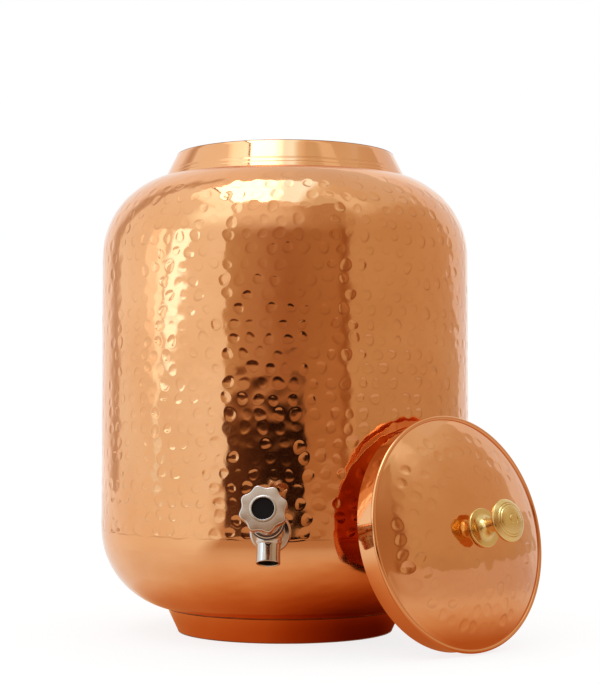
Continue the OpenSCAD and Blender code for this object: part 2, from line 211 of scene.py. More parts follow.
def arc(centre_r, centre_z, radius, first, last, steps):
    """Places along an arc, with its angles in degrees."""
    angles = np.radians(np.linspace(first, last, steps))
    return [(centre_r + radius * math.cos(a), centre_z + radius * math.sin(a)) for a in angles]


def corners_of(places):
    """Corners without a fillet, from places of (radius, height)."""
    return [(r, z, 0) for r, z in places]


def ring_points(r, z, columns):
    """Points of rings round the Z axis, from the radii and heights along an outline."""
    turn = 2 * math.pi * np.arange(columns) / columns
    return np.stack([r * np.cos(turn), r * np.sin(turn), z + 0 * turn], -1).reshape(-1, 3)


def grid_faces(rows, columns, first=0):
    """Faces of a grid of points that closes round its columns."""
    i, k = np.meshgrid(np.arange(rows - 1), np.arange(columns), indexing="ij")
    j = (k + 1) % columns
    a, b = first + i * columns + k, first + i * columns + j
    return np.stack([a, b, b + columns, a + columns], -1).reshape(-1, 4).tolist()


# Materials


def node_material(name):
    material = bpy.data.materials.new(name)
    material.use_nodes = True
    nodes = material.node_tree.nodes
    return material, nodes, material.node_tree.links, nodes["Principled BSDF"]


def add_noise(nodes, links, scale, detail, stretch=None):
    """A noise value over the object's own coordinates, stretched along an axis where asked."""
    place = nodes.new("ShaderNodeTexCoord")
    noise = nodes.new("ShaderNodeTexNoise")
    noise.inputs["Scale"].default_value = scale
    noise.inputs["Detail"].default_value = detail
    source = place.outputs["Object"]
    if stretch:
        mapping = nodes.new("ShaderNodeMapping")
        mapping.inputs["Scale"].default_value = stretch
        links.new(source, mapping.inputs["Vector"])
        source = mapping.outputs["Vector"]
    links.new(source, noise.inputs["Vector"])
    return noise.outputs["Fac"]


def add_range(nodes, links, value, low, high, to_low, to_high):
    ranged = nodes.new("ShaderNodeMapRange")
    ranged.inputs["From Min"].default_value = low
    ranged.inputs["From Max"].default_value = high
    ranged.inputs["To Min"].default_value = to_low
    ranged.inputs["To Max"].default_value = to_high
    links.new(value, ranged.inputs["Value"])
    return ranged.outputs["Result"]


def add_mix(nodes, links, value, first, second):
    mix = nodes.new("ShaderNodeMix")
    mix.data_type = "RGBA"
    mix.inputs["A"].default_value = (*first, 1)
    mix.inputs["B"].default_value = (*second, 1)
    links.new(value, mix.inputs["Factor"])
    return mix.outputs["Result"]


def add_bump(nodes, links, shader, height, strength, distance):
    bump = nodes.new("ShaderNodeBump")
    bump.inputs["Strength"].default_value = strength
    bump.inputs["Distance"].default_value = distance
    links.new(height, bump.inputs["Height"])
    links.new(bump.outputs["Normal"], shader.inputs["Normal"])


def add_rims(nodes, links, colour, deep):
    """Darkens a colour along the rims of the hammer marks, as painted shade, and along the barrel's dark
    seam line.
    """
    rims = nodes.new("ShaderNodeAttribute")
    rims.attribute_name = "rim"
    mix = nodes.new("ShaderNodeMix")
    mix.data_type = "RGBA"
    mix.inputs["B"].default_value = (*deep, 1)
    links.new(rims.outputs["Fac"], mix.inputs["Factor"])
    links.new(colour, mix.inputs["A"])
    return mix.outputs["Result"]


def metal(name, light, deep, rough, grain, grain_stretch, patch, bump, rim=None):
    """A polished metal with patches of tone, a fine grain in its gloss and slight waves; rim gives the
    colour of painted shade along the hammer marks' rims.
    """
    material, nodes, links, shader = node_material(name)
    shader.inputs["Metallic"].default_value = 1.0
    tone = add_noise(nodes, links, patch, 4)
    tone = add_range(nodes, links, tone, 0.35, 0.7, 0, 1)
    colour = add_mix(nodes, links, tone, light, deep)
    if rim:
        colour = add_rims(nodes, links, colour, rim)
    links.new(colour, shader.inputs["Base Color"])
    fine = add_noise(nodes, links, grain, 3, grain_stretch)
    links.new(add_range(nodes, links, fine, 0.3, 0.7, rough[0], rough[1]), shader.inputs["Roughness"])
    wave = add_noise(nodes, links, patch * 2, 2)
    add_bump(nodes, links, shader, wave, bump, 0.0006)
    return material


def plain(name, light, deep, rough, patch, bump=0.2):
    """Rubber or plastic with slight changes of tone and a fine grain."""
    material, nodes, links, shader = node_material(name)
    tone = add_noise(nodes, links, patch, 4)
    links.new(add_mix(nodes, links, tone, light, deep), shader.inputs["Base Color"])
    fine = add_noise(nodes, links, patch * 6, 3)
    links.new(add_range(nodes, links, fine, 0.3, 0.7, rough[0], rough[1]), shader.inputs["Roughness"])
    add_bump(nodes, links, shader, fine, bump, 0.0001)
    return material


COPPER = (0.86, 0.42, 0.19)
DEEP_COPPER = (0.81, 0.37, 0.155)
SPUN_COPPER = (0.80, 0.36, 0.15)
# the dark tone of painted shade along the hammer marks' rims
RIM_SHADE_COPPER = (0.46, 0.17, 0.06)
HAMMERED = metal(
    "hammered_copper", COPPER, DEEP_COPPER, (0.06, 0.10), 400, None, 18, 0.06, RIM_SHADE_COPPER
)
POLISHED = metal("polished_copper", COPPER, DEEP_COPPER, (0.05, 0.09), 300, (1, 1, 8), 14, 0.05)
SPUN = metal("spun_copper", COPPER, SPUN_COPPER, (0.10, 0.17), 60, (1, 1, 14), 22, 0.16)
BRASS = metal("turned_brass", (0.82, 0.61, 0.25), (0.74, 0.52, 0.19), (0.16, 0.26), 200, None, 60, 0.05)
# painted reflection: CHROME and SATIN are written warmer than plain chrome, offsetting the bluish cards and
# standing for the copper they mirror
CHROME = metal("chrome_plate", (0.63, 0.53, 0.46), (0.55, 0.46, 0.40), (0.06, 0.12), 300, None, 70, 0.04)
DARK_RUBBER_AND_SHADE = plain("dark_rubber", (0.030, 0.030, 0.030), (0.050, 0.048, 0.046), (0.5, 0.7), 200)
# dark braze at the foot's joint; the same dark finish is painted shade on the foot's bottom edge and on the
# neck's rim
BRAZE_AND_SHADE = metal("braze_and_painted_shade", (0.30, 0.10, 0.04), (0.20, 0.06, 0.02), (0.35, 0.5), 120, None, 60, 0.2)
# painted reflection: a warm tint, as for CHROME
SATIN = metal("satin_chrome", (0.60, 0.51, 0.44), (0.545, 0.465, 0.40), (0.20, 0.28), 300, None, 70, 0.03)
# painted shade: the dark tone inside the spout's bore
BORE_SHADE = metal("painted_bore_shade", (0.10, 0.08, 0.05), (0.06, 0.045, 0.03), (0.35, 0.5), 120, None, 60, 0.1)
SILICONE = plain("pale_silicone", (0.80, 0.78, 0.74), (0.72, 0.70, 0.66), (0.35, 0.5), 150)
BLACK = plain("black_cap", (0.006, 0.004, 0.004), (0.012, 0.008, 0.007), (0.34, 0.46), 260)
BLACK.node_tree.nodes["Principled BSDF"].inputs["Specular IOR Level"].default_value = 0.08

# Hammered copper


MARK_SHARES = [0.25, 0.5, 0.8, 1.0, 1.25]


def dented(columns, along, around, rows_at, radius, depth, waves):
    """Depths of hammer marks on a grid of (along, around) places in millimetres, and painted shade along
    their rims.

    rows_at lists (place along, count round, share of the depth) for each row of marks, and waves
    lists (height, length along, count round, phase) for each slow swell of the sheet.
    """
    depths = np.zeros((len(along), columns))
    rims = np.zeros((len(along), columns))
    turn = np.arange(columns) / columns
    for place, count, share in rows_at:
        start = random.uniform()
        for k in range(count):
            at = place + random.normal(0, 0.7)
            angle = (start + (k + random.normal(0, 0.08)) / count) % 1.0
            size = radius * random.uniform(0.84, 1.16)
            share_here = share * random.choice(MARK_SHARES)
            lines = np.where(np.abs(along - at) < size * 1.5)[0]
            length = around[lines][:, None]
            aside = (turn[None, :] - angle + 0.5) % 1.0 - 0.5
            far = np.hypot((along[lines] - at)[:, None], aside * length) / size
            bearing = np.arctan2((along[lines] - at)[:, None], aside * length)
            # a slightly oval and lobed outline
            oval, lobed = random.uniform(0, 2 * math.pi, 2)
            far *= 1 + 0.09 * np.cos(2 * bearing - oval) + 0.06 * np.cos(3 * bearing - lobed)
            # a shallow bowl with a low brim
            bowl = np.where(far < 1, 1 - np.minimum(far, 1) ** 3.2, 0)
            brim = 0.07 * np.exp(-((far - 1.14) / 0.16) ** 2)
            depths[lines] += depth * share_here * (bowl - brim)
            # painted shade: a dark crescent on one side of the rim, its side and strength set by where the
            # mark sits round the piece
            shaded_side = math.atan2(-0.6, math.cos(2 * math.pi * angle)) + random.normal(0, 0.7)
            crescent = (0.5 + 0.5 * np.cos(bearing - shaded_side)) ** 2
            rim_shade_strength = (0.42 + 0.13 * math.cos(2 * math.pi * angle)) * share_here
            ring = rim_shade_strength * (0.06 + 0.94 * crescent) * np.exp(-((far - 0.92) / 0.15) ** 2)
            rims[lines] = np.maximum(rims[lines], ring)
    for size, swells, ripples, phase in waves:
        line = 2 * math.pi * along[:, None] / swells
        depths += size * np.sin(line + phase) * np.cos(2 * math.pi * ripples * turn[None, :] + 1.7 * phase)
    return depths, rims


def unevenness(along, columns, size, count=36):
    """Slight unevenness of hand-beaten sheet, as waves that close round the piece."""
    turn = 2 * math.pi * np.arange(columns) / columns
    depths = np.zeros((len(along), columns))
    for _ in range(count):
        line = 2 * math.pi * along[:, None] / random.uniform(8, 22)
        ripples = int(random.integers(-48, 49))
        depths += size * np.sin(line + ripples * turn[None, :] + random.uniform(0, 2 * math.pi))
    return depths


BARREL_LENGTH = 300.5
BARREL_COLUMNS = 1080
BARREL_INNER_TURNS = 192
BARREL_SEAM = 11.0
MARKS_START = 15.3
MARK_STEP = 10.12
MARK_ROWS = 26
MARK_SPACING = 11.9
MARK_RADIUS = 3.6
SOFT_MARKS_FROM = 262
NECK_DIP = 2.2
DIP_START = 285.5
DIP_LENGTH = 8.5


def barrel_line(s):
    """Radius, height and outward direction at a length along the barrel's outline.

    The shoulder flattens beside the neck.
    """
    low = BOWL_R * math.asin((BOWL_Z - SEAM_Z) / BOWL_R)
    high = low + SHOULDER_Z - BOWL_Z
    if s < low:
        angle = (s - low) / BOWL_R
        return BARREL_R - BOWL_R + BOWL_R * math.cos(angle), BOWL_Z + BOWL_R * math.sin(angle), angle
    if s < high:
        return BARREL_R, BOWL_Z + s - low, 0.0
    angle = (s - high) / SHOULDER_R
    centre = BARREL_R - SHOULDER_R
    reach = SHOULDER_R - NECK_DIP * min(max((s - DIP_START) / DIP_LENGTH, 0), 1)
    return centre + reach * math.cos(angle), SHOULDER_Z + reach * math.sin(angle), angle


def turned_lines(along, places, width, depth):
    """Depth of fine turned grooves at places along an outline."""
    depths = np.zeros(len(along))
    for place in places:
        depths += depth * np.exp(-((along - place) / width) ** 2)
    return depths


def barrel_seam(along):
    """Strength of the uneven line where the hammered wall meets the plain bowl."""
    turn = 2 * math.pi * np.arange(BARREL_COLUMNS) / BARREL_COLUMNS
    place = BARREL_SEAM + 0.35 * np.sin(31 * turn) + 0.25 * np.sin(53 * turn + 1.0)
    share = 0.5 + 0.25 * np.sin(17 * turn) + 0.25 * np.sin(43 * turn + 2.0)
    return share * np.exp(-(((along[:, None] - place) / 0.45) ** 2))


def make_barrel():
    columns = BARREL_COLUMNS
    bottom = np.linspace(0, 8.5, 8)
    seam_zone = np.arange(9.0, 13.0, 0.35)
    middle = np.arange(13.2, 280.5, 0.82)
    top = np.arange(281.0, BARREL_LENGTH, 0.4)
    along = np.concatenate([bottom, seam_zone, middle, top])
    line = np.array([barrel_line(s) for s in along])
    around = 2 * math.pi * line[:, 0]
    marks = []
    for k in range(MARK_ROWS):
        place = MARKS_START + MARK_STEP * k
        count = int(round(2 * math.pi * barrel_line(place)[0] / MARK_SPACING))
        marks.append((place, count, 1.0 if place < SOFT_MARKS_FROM else 0.5))
    waves = [(0.05, 61, 17, 0.3), (0.04, 37, 29, 1.9), (0.05, 83, 11, 4.0), (0.03, 23, 41, 2.6)]
    depths, rims = dented(columns, along, around, marks, MARK_RADIUS, 0.185, waves)
    depths += unevenness(along, columns, 0.0045)
    plain_share = np.clip((along - 10) / 3, 0, 1) * np.clip((284 - along) / 12, 0, 1)
    depths *= plain_share[:, None]
    rims *= plain_share[:, None]
    seam = barrel_seam(along)
    rims = np.maximum(rims, 0.7 * seam)
    depths += 0.06 * seam
    depths += turned_lines(along, [281.5, 283.0, 284.2], 0.45, 0.05)[:, None]
    r = line[:, 0:1] - depths * np.cos(line[:, 2:3])
    z = line[:, 1:2] - depths * np.sin(line[:, 2:3])
    points = ring_points(r, z, columns)
    faces = grid_faces(len(along), columns)
    inside = np.array([barrel_line(s) for s in np.linspace(BARREL_LENGTH, 0, 60)])
    r = inside[:, 0:1] - SHEET * np.cos(inside[:, 2:3])
    z = inside[:, 1:2] - SHEET * np.sin(inside[:, 2:3])
    inner = ring_points(r, z, BARREL_INNER_TURNS)
    faces += grid_faces(len(inside), BARREL_INNER_TURNS, len(points))
    points = np.concatenate([points, inner])
    rims = np.concatenate([rims.ravel(), np.zeros(len(inner))])
    make_piece("barrel_hammered", points, faces, POT, HAMMERED, "pot",
               ["barrel", "shoulder"], 60, rims)


make_barrel()

# Plain copper


def make_bowl():
    columns = 256
    top = math.asin((BOWL_Z - SEAM_Z) / BOWL_R)
    angle = np.linspace(-math.pi / 2 + 0.02, -top, 72)
    plain_share = np.clip((-top - angle) / 0.08, 0, 1)
    depths = unevenness(angle * BOWL_R, columns, 0.008) * plain_share[:, None]
    points = []
    for inset, lines in ((depths, angle), (SHEET + 0 * depths[::-1], angle[::-1])):
        reach = BOWL_R - inset
        r = BARREL_R - BOWL_R + reach * np.cos(lines)[:, None]
        z = BOWL_Z + reach * np.sin(lines)[:, None]
        points.append(ring_points(r, z, columns))
    points = np.concatenate(points)
    faces = grid_faces(2 * len(angle), columns)
    faces.append(list(range(columns - 1, -1, -1)))
    faces.append(list(range(len(points) - columns, len(points))))
    make_piece("bowl_spun", points, faces, POT, SPUN, "pot", ["bottom_bowl"], 50)


make_bowl()


FOOT_LIP = 0.9


def make_foot():
    slope = (FOOT_TOP_R - FOOT_BASE_R) / FOOT_H
    top_z = FOOT_H + FOOT_LIP
    top_r = FOOT_BASE_R + slope * top_z
    outside = [(FOOT_BASE_R, 0, 0.7), (FOOT_BASE_R + slope * 9, 9, 0), (top_r, top_z, 0.25)]
    inside = [
        (top_r - 1.2, top_z, 0.3),
        (FOOT_BASE_R - SHEET + 0.4, 1.0, 0.3),
        (FOOT_BASE_R - FOOT_FLANGE_W, 1.0, 0.4),
        (FOOT_BASE_R - FOOT_FLANGE_W, 0, 0.4),
    ]
    outline = soften(outside + inside)
    lathe_piece("foot_spun", outline, POT, SPUN, "pot", ["foot_ring"], 256)
    bead = arc(top_r + 0.1, top_z + 0.35, 0.75, 0, 330, 12)
    lathe_piece("foot_braze", bead, POT, BRAZE_AND_SHADE, "pot", (), 256)
    # painted shade: a dark ring along the foot's bottom edge, where it meets the floor
    edge = soften([(79.0, 0.03, 0), (80.2, 0.03, 0.1), (80.45, 0.75, 0.1), (79.5, 0.75, 0)])
    lathe_piece("foot_edge_shade", edge, POT, BRAZE_AND_SHADE, "pot", (), 256)


make_foot()


NECK_RIM_IN = 0.1
NECK_FOOT_OUT = 0.15
NECK_SINK = 0.34
NECK_ROUND = 0.15
NECK_GROOVES = [0.25, 0.43, 0.49]


def make_neck():
    """The collar's wall as a long arc, with its angles in degrees, from below the shoulder to the rim."""
    rim_r = MOUTH_R + RIM_W - NECK_RIM_IN
    foot_r = NECK_R + NECK_FOOT_OUT
    chord = np.array([rim_r - foot_r, POT_H - NECK_Z])
    length = np.linalg.norm(chord)
    inward = np.array([-chord[1], chord[0]]) / length
    sag = math.sqrt(NECK_CURVE_R ** 2 - (length / 2) ** 2)
    centre = np.array([foot_r, NECK_Z]) + chord / 2 + inward * sag
    low = math.degrees(math.atan2(NECK_Z - centre[1], foot_r - centre[0])) - NECK_SINK
    high = math.degrees(math.atan2(POT_H - centre[1], rim_r - centre[0])) - NECK_ROUND
    angles = np.linspace(low, high, 180)
    lines = turned_lines(angles - low, NECK_GROOVES, 0.017, 0.05)
    outside = []
    for angle, groove in zip(np.radians(angles), lines):
        reach = NECK_CURVE_R - groove
        outside.append((centre[0] + reach * math.cos(angle), centre[1] + reach * math.sin(angle)))
    inside = arc(centre[0], centre[1], NECK_CURVE_R - SHEET, high - 0.13, low + 0.1, 24)
    top = [(rim_r - 0.1, POT_H, 0.7), (MOUTH_R, POT_H, 0.8)]
    hem = [(MOUTH_R, POT_H - HEM_H, 0.3), (MOUTH_R + SHEET, POT_H - HEM_H, 0.3)]
    outline = soften(corners_of(outside) + top + hem + corners_of(inside))
    lathe_piece(
        "neck_polished", outline, POT, POLISHED, "pot", ["neck_collar"], 256, True, 50
    )
    # painted shade: a thin dark ring along the rim's outer edge
    edge = arc(rim_r - 0.25, POT_H - 0.42, 0.42, 0, 330, 12)
    lathe_piece("neck_rim_shade", edge, POT, BRAZE_AND_SHADE, "pot", (), 256)


make_neck()


def make_lid_dome():
    crown = (BEAD_RING_R ** 2 + DOME_H ** 2) / (2 * DOME_H)
    centre = SKIRT_H + DOME_H - crown
    columns = 420
    along = np.concatenate([np.linspace(3, 12, 8)[:-1], np.linspace(12, BEAD_RING_R - 1.2, 66)])
    around = 2 * math.pi * along
    marks = [
        (65.5, 41, 1.0), (55, 34, 0.95), (43, 27, 0.75), (34, 20, 0.3), (25, 14, 0.25), (17, 9, 0.2),
    ]
    waves = [(0.07, 31, 7, 0.4), (0.05, 23, 11, 2.2), (0.05, 47, 5, 4.4)]
    depths, rims = dented(columns, along, around, marks, MARK_RADIUS, 0.22, waves)
    outer_share = np.clip(along / 60, 0, 1) ** 2
    depths += unevenness(along, columns, 0.003) * outer_share[:, None]
    plain_share = np.clip((73 - along) / 4, 0, 1) * np.clip((along - 8) / 6, 0, 1)
    depths *= plain_share[:, None]
    depths += turned_lines(along, [77.0], 0.8, 0.10)[:, None]
    rise = along / crown
    r = along[:, None] - depths * rise[:, None]
    z = centre + np.sqrt(crown ** 2 - along ** 2)[:, None] - depths * np.sqrt(1 - rise ** 2)[:, None]
    points = ring_points(r, z, columns)
    faces = grid_faces(len(along), columns)
    under = np.linspace(BEAD_RING_R, 3, 20)
    under_z = centre + np.sqrt((crown - SHEET) ** 2 - under ** 2)
    inner = ring_points(under[:, None], under_z[:, None], columns)
    faces += grid_faces(len(under), columns, len(points))
    points = np.concatenate([points, inner])
    rims = np.concatenate([rims.ravel(), np.zeros(len(inner))])
    make_piece("lid_dome_hammered", points, faces, LID, HAMMERED, "lid",
               ["lid_top"], 60, rims)
    bead = arc(BEAD_RING_R, SKIRT_H, BEAD_R, 0, 352.5, 48)
    lathe_piece("lid_bead", bead, LID, POLISHED, "lid", (), 256)


make_lid_dome()


def make_lid_skirt():
    outline = soften([
        (SKIRT_R, 0, 0.45),
        (SKIRT_R, SKIRT_H, 0),
        (SKIRT_R - SHEET, SKIRT_H, 0),
        (SKIRT_R - SHEET, 0, 0.45),
    ])
    lathe_piece("skirt_polished", outline, LID, POLISHED, "lid", ["lid_skirt"], 256)


make_lid_skirt()

# Brass knob


KNOB_R = 14.5
KNOB_DOME_H = 5.5
KNOB_H = 29
KNOB_GROOVES = [3.5, 9.9, 11.4]
KNOB_GROOVE_W = 0.45


def make_knob():
    dome_r = (KNOB_R ** 2 + KNOB_DOME_H ** 2) / (2 * KNOB_DOME_H)
    dome_z = KNOB_H - dome_r
    face = []
    for r in np.linspace(13.9, 0.0, 90):
        depth = 0.02 * math.sin(r * 9.0)
        for place in KNOB_GROOVES:
            depth += 0.45 * math.exp(-(((r - place) / KNOB_GROOVE_W) ** 2) * 2.5)
        face.append((r, dome_z + math.sqrt(dome_r ** 2 - r ** 2) - depth))
    disc = [(0, -0.6, 0), (13.5, -0.6, 0.3), (13.5, 1.5, 0.7)]
    trumpet = corners_of(arc(11.4, 8, 6.5, -90, -180, 20))
    flare = corners_of(arc(9.9, 16.5, 5, 180, 90, 16))
    head = [(KNOB_R, 21.5, 0.5), (KNOB_R, 23.4, 0.5)]
    outline = soften(disc + trumpet + flare + head + corners_of(face))
    lathe_piece("knob_turned", outline, KNOB, BRASS, "lid", ["lid_knob"], 128, False)


make_knob()

# Chrome tap


INLET_R = 4.5
SHANK_R = 8.0
THREAD_ROOT_R = 7.3
THREAD_TURNS = 12
THREAD_STEP = 1.8
TUBE_END = 16.0
TUBE_WALL = 6.5
SPOUT_START = 3.0
SPOUT_ROOT_R = 8.2


def make_tap_body():
    """Shank, flange with its tube, chamber and spout.

    The tube ends and the spout starts inside the chamber's wall. TUBE_WALL is how far behind the
    valve's origin the tube ends, along the valve's axis.
    """
    shank = [(INLET_R, -26, 0.3), (7.6, -26, 0.6)]
    for k in range(THREAD_TURNS):
        z = -25 + THREAD_STEP * k
        shank += [(THREAD_ROOT_R, z, 0.15), (SHANK_R, z + THREAD_STEP / 2, 0.15)]
    shank += [(SHANK_R, 1.8, 0), (INLET_R, 1.8, 0)]
    lathe_piece("tap_shank", soften(shank, 2), TAP, CHROME, "pot", ["tap_body"], 96)
    flange = [
        (7.0, 1.8, 0), (14.0, 1.8, 0.3), (14.0, 3.4, 0.5), (12.8, 4.8, 0.9), (9.0, 5.0, 0.8),
        (8.7, TUBE_END, 0), (7.0, TUBE_END, 0),
    ]
    points, faces = lathe(soften(flange))
    rise = math.radians(TAP_RISE)
    for n, (x, y, z) in enumerate(points):
        if z > TUBE_END - 0.1:
            wall_z = VALVE_OUT - (TUBE_WALL + (y - VALVE_UP) * math.sin(rise)) / math.cos(rise)
            points[n] = (x, y, wall_z)
    make_piece("tap_flange", points, faces, TAP, CHROME, "pot")
    chamber = [
        (INLET_R, -10.2, 0), (8.9, -10.2, 2.2), (10.3, -6.5, 2.0), (10.3, 12, 0.7), (8, 12, 0.3),
        (8, -6, 0), (INLET_R, -6, 0),
    ]
    lathe_piece("tap_chamber", soften(chamber), VALVE, CHROME, "pot", (), 128)
    spout = [
        (6.9, SPOUT_START, 0), (8.6, SPOUT_START, 0), (8.75, 8.6, 0.3), (9.0, 9.6, 0.5), (8.6, 10.8, 0.5),
        (8.05, 11.6, 0.6), (8.0, 18, 0), (8.15, 23.4, 0.3), (7.95, 24, 0.3), (7.4, 24, 0.25),
        (6.9, 23.5, 0.1),
    ]
    points, faces = lathe(soften(spout))
    for n, (x, y, z) in enumerate(points):
        if z < SPOUT_START + 0.1:
            points[n] = (x, y, math.sqrt(max(SPOUT_ROOT_R ** 2 - x ** 2, 0)))
    make_piece("tap_spout", points, faces, SPOUT, CHROME, "pot")
    # painted shade: a dark lining inside the spout's outlet
    bore = [
        (0, 10.4, 0), (6.92, 10.4, 0.5), (6.92, 23.45, 0), (6.7, 23.45, 0), (6.5, 11.4, 0.5), (0, 11.4, 0),
    ]
    lathe_piece("tap_spout_bore", soften(bore), SPOUT, BORE_SHADE, "pot", (), 96, False)


make_tap_body()


def make_bonnet():
    outline = soften([
        (6.6, 6.5, 0.2), (7.9, 6.5, 0.3), (7.9, 13, 0), (10.9, 13, 0.3), (11.1, 13.6, 0.3),
        (11.1, 16.9, 0), (11.0, 17.4, 0.3), (10.6, 18, 0.4), (8.3, 18.1, 0.8), (7.9, 20, 0.3),
        (6.75, 28.4, 0.3), (6.3, 29, 0.3), (3.2, 29, 0), (3.2, 15.6, 0), (6.6, 15.6, 0),
    ])
    lathe_piece("bonnet_turned", outline, VALVE, CHROME, "pot", ["bonnet"], 128)
    # a dark ring round the bonnet's outer edge, in the same dark finish
    outer = soften([(10.8, 15.4, 0), (11.7, 15.4, 0.3), (11.7, 16.8, 0.3), (10.8, 16.8, 0)])
    lathe_piece("bonnet_ring_outer", outer, VALVE, DARK_RUBBER_AND_SHADE, "pot", (), 128)
    # painted shade: a thin dark ring standing for the shade in a groove on the bonnet's top
    inner = soften([(9.5, 17.9, 0), (10.15, 17.9, 0), (10.15, 18.25, 0.1), (9.5, 18.25, 0.1)])
    lathe_piece("bonnet_groove_shade", inner, VALVE, DARK_RUBBER_AND_SHADE, "pot", (), 128)


make_bonnet()

WHEEL_R = 15.75
WHEEL_SCALLOP = 1.9
WHEEL_LOBES = 8
LOBE_TURN = 16.5


def make_wheel():
    """The lobed wheel, from rings of (lobed or round, inset or radius, height) joined up."""
    rings = [
        (0, 3.0, 32.2), (0, 5.7, 32.2), (0, 6.0, 32.5), (0, 6.0, 45.0), (0, 6.4, 46.6), (0, 7.4, 47.6),
        (0, 10.2, 48.0), (1, 3.0, 48.0), (1, 2.4, 47.6), (1, 2.2, 46.6), (1, 2.0, 44.0), (1, 1.7, 43.4),
        (1, 1.2, 43.2), (1, 0.6, 43.5), (1, 0.15, 44.2), (1, 0.0, 45.2), (1, 0.0, 51.2), (1, 0.08, 51.6),
        (1, 0.3, 51.95), (1, 0.6, 52.12), (1, 1.0, 52.2), (0, 9.2, 52.2), (0, 8.35, 52.22),
        (0, 8.15, 52.4), (0, 8.05, 52.75), (0, 7.9, 52.9), (0, 7.6, 52.9), (0, 7.35, 52.75),
        (0, 7.15, 52.3), (0, 7.15, 50.2), (0, 3.0, 50.2),
    ]
    turns = 192
    turn = 2 * math.pi * np.arange(turns) / turns
    wave = np.abs(np.cos((turn - math.radians(LOBE_TURN)) * WHEEL_LOBES / 2))
    lobes = WHEEL_R - WHEEL_SCALLOP * (1 - wave ** 2.4)
    points = []
    for lobed, size, z in rings:
        radius = lobes - size if lobed else np.full(turns, size)
        points.append(np.stack([radius * np.cos(turn), radius * np.sin(turn), np.full(turns, z)], -1))
    points = np.concatenate(points)
    faces = grid_faces(len(rings), turns)
    make_piece("wheel_lobed", points, faces, VALVE, SATIN, "tap_wheel", ["handwheel"], 50)


make_wheel()


def make_cap():
    outline = soften([
        (0, 50.2, 0), (7.12, 50.2, 0), (7.12, 51.3, 0.2), (6.6, 51.5, 0.25), (6.3, 51.3, 0.2),
        (0, 51.45, 0),
    ])
    lathe_piece("cap_disc", outline, VALVE, BLACK, "tap_wheel", ["handwheel_cap"], 96, False)


make_cap()

# Finishes of the nodes that keep their CAD shape

FINISH = {
    "knob_washer": BRASS, "knob_screw": BRASS, "tap_back_nut": BRASS,
    "spindle": BRASS, "valve_carrier": BRASS, "washer_screw": BRASS,
    "tap_washer": CHROME, "spindle_clip": CHROME, "handwheel_screw": CHROME,
    "tap_gasket_inner": DARK_RUBBER_AND_SHADE, "bonnet_seal": DARK_RUBBER_AND_SHADE, "spindle_o_ring": DARK_RUBBER_AND_SHADE, "valve_washer": DARK_RUBBER_AND_SHADE,
    "tap_gasket_outer": SILICONE,
}
for node, material in FINISH.items():
    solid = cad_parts[node]
    if not solid.material_slots:
        solid.data.materials.append(material)
    for holder in solid.material_slots:
        holder.material = material

# Stage: a white floor, white surroundings, and cards that only reflections see


def make_stage_mesh(name, points, faces, material):
    mesh = bpy.data.meshes.new(name)
    mesh.from_pydata(points, [], faces)
    mesh.update()
    mesh.materials.append(material)
    stage = bpy.data.objects.new(name, mesh)
    bpy.context.scene.collection.objects.link(stage)
    return stage


def make_floor():
    """A white floor: plain diffuse white, with a part of its white given only to what looks at it."""
    material, nodes, links, shader = node_material("white_floor")
    shader.inputs["Base Color"].default_value = (0.21, 0.21, 0.21, 1)
    shader.inputs["Roughness"].default_value = 0.9
    shader.inputs["Specular IOR Level"].default_value = 0.0
    shader.inputs["Emission Color"].default_value = (0.815, 0.815, 0.815, 1)
    path = nodes.new("ShaderNodeLightPath")
    seen = path.outputs["Is Camera Ray"]
    for other in ("Is Glossy Ray", "Is Transmission Ray"):
        either = nodes.new("ShaderNodeMath")
        either.operation = "MAXIMUM"
        links.new(seen, either.inputs[0])
        links.new(path.outputs[other], either.inputs[1])
        seen = either.outputs["Value"]
    links.new(seen, shader.inputs["Emission Strength"])
    make_stage_mesh("floor", [(-6, -6, 0), (6, -6, 0), (6, 6, 0), (-6, 6, 0)], [(0, 1, 2, 3)], material)


make_floor()

VIEW_SIDE = 4.0


def make_glow():
    """A material whose points glow with their own tones."""
    material = bpy.data.materials.new("card_glow")
    material.use_nodes = True
    nodes = material.node_tree.nodes
    nodes.clear()
    tone = nodes.new("ShaderNodeAttribute")
    tone.attribute_name = "tone"
    light = nodes.new("ShaderNodeEmission")
    output = nodes.new("ShaderNodeOutputMaterial")
    material.node_tree.links.new(tone.outputs["Color"], light.inputs["Color"])
    material.node_tree.links.new(light.outputs["Emission"], output.inputs["Surface"])
    return material


GLOW = make_glow()


def add_card(name, points, tones):
    """A card that only reflections see, from grids of its points and tones."""
    points, tones = np.asarray(points, float), np.asarray(tones, float)
    rows, columns = points.shape[:2]
    faces = []
    for i in range(rows - 1):
        for k in range(columns - 1):
            a = i * columns + k
            faces.append((a, a + 1, a + columns + 1, a + columns))
    card = make_stage_mesh(name, points.reshape(-1, 3), faces, GLOW)
    tone = card.data.attributes.new("tone", "FLOAT_COLOR", "POINT")
    colours = np.concatenate([tones.reshape(-1, 3), np.ones((rows * columns, 1))], 1)
    tone.data.foreach_set("color", colours.ravel().astype(np.float32))
    card.visible_camera = False
    card.visible_diffuse = False
    card.visible_transmission = False
    card.visible_shadow = False


def place_of(bearing, distance, height):
    """A place at a bearing from the camera's side, in metres."""
    angle = math.radians(VIEW_SIDE + bearing)
    return distance * math.sin(angle), -distance * math.cos(angle), height


def blend(stops, at):
    """The colour at a place among stops of (place, colour)."""
    places = [stop[0] for stop in stops]
    return np.array([np.interp(at, places, [stop[1][i] for stop in stops]) for i in range(3)])


